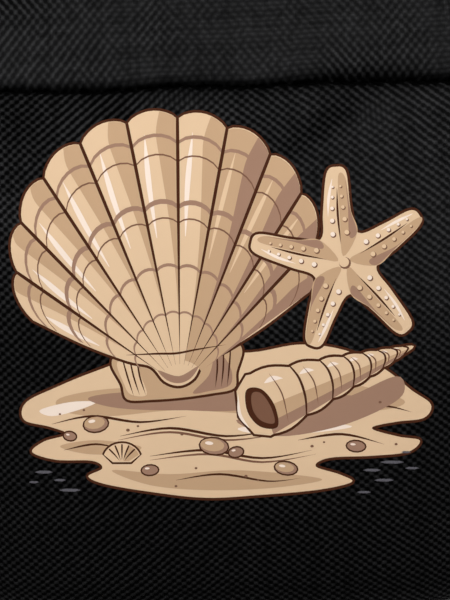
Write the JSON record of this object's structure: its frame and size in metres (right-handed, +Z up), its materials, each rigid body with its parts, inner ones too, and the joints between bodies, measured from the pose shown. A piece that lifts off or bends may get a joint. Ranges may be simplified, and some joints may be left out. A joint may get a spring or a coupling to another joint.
{
  "type": "backpack",
  "caption": "Small child's backpack in black packcloth with an arched zip, a full printed front pocket, padded back, padded shoulder straps, grab handle and mesh side pockets.",
  "frame": {"origin": "on the base panel's underside, midway between the sides, under the zip's gusset", "axes": "+Z up with the bag standing on its base, -Y towards the front pocket, +Y towards the shoulder straps, +X to the right seen from the front"},
  "size_m": [0.2958, 0.2, 0.3732],
  "materials": {
    "packcloth": "coarse basket-woven polyester, matt with a faint sheen on the threads",
    "spacer_mesh": "knitted spacer mesh over foam",
    "piping": "woven binding over a cord",
    "zip_tape": "fine woven tape with a nylon coil",
    "slider_metal": "black enamelled zinc, satin",
    "moulded_plastic": "black moulded acetal, fine texture",
    "webbing": "ribbed polypropylene webbing",
    "open_mesh": "knitted open mesh"
  },
  "bodies": {
    "bag": {"main_compartment": "packcloth", "base_panel": "packcloth", "pocket_lower": "packcloth", "pocket_upper": "packcloth", "pocket_zip": "zip_tape", "main_zip": "zip_tape", "back_pad": "spacer_mesh", "front_piping": "piping", "back_piping": "piping", "shoulder_strap_left": "packcloth", "shoulder_strap_right": "packcloth", "ladder_lock_left": "moulded_plastic", "ladder_lock_right": "moulded_plastic", "webbing_left": "webbing", "webbing_right": "webbing", "grab_handle": "webbing", "side_pocket_left": "open_mesh", "side_pocket_right": "open_mesh", "side_binding_left": "webbing", "side_binding_right": "webbing"},
    "pocket_slider": {"pocket_slider": "slider_metal"},
    "pocket_pull": {"pocket_pull": "slider_metal"},
    "main_slider_right": {"main_slider_right": "slider_metal"},
    "main_pull_right": {"main_pull_right": "slider_metal"},
    "main_slider_left": {"main_slider_left": "slider_metal"},
    "main_pull_left": {"main_pull_left": "slider_metal"}
  },
  "joints": [
    {"name": "pocket_slider_travel", "type": "slide", "parent": "bag", "child": "pocket_slider", "axis": [-1, 0, 0], "range_m": [0, 0.168]},
    {"name": "pocket_pull_flip", "type": "hinge", "parent": "pocket_slider", "child": "pocket_pull", "pos_m": [0.084, -0.05246, 0.26052], "axis": [0, 0.5547, 0.8321], "range_deg": [0, 165]},
    {"name": "main_slider_right_travel", "type": "hinge", "parent": "bag", "child": "main_slider_right", "pos_m": [0, 0.005, 0.21], "axis": [0, 1, 0], "range_deg": [0, 78]},
    {"name": "main_pull_right_flip", "type": "hinge", "parent": "main_slider_right", "child": "main_pull_right", "pos_m": [0.00547, 0.005, 0.34619], "axis": [0, -1, 0], "range_deg": [0, 95]},
    {"name": "main_slider_left_travel", "type": "hinge", "parent": "bag", "child": "main_slider_left", "pos_m": [0, 0.005, 0.21], "axis": [0, -1, 0], "range_deg": [0, 78]},
    {"name": "main_pull_left_flip", "type": "hinge", "parent": "main_slider_left", "child": "main_pull_left", "pos_m": [-0.00547, 0.005, 0.34619], "axis": [0, 1, 0], "range_deg": [0, 95]}
  ]
}
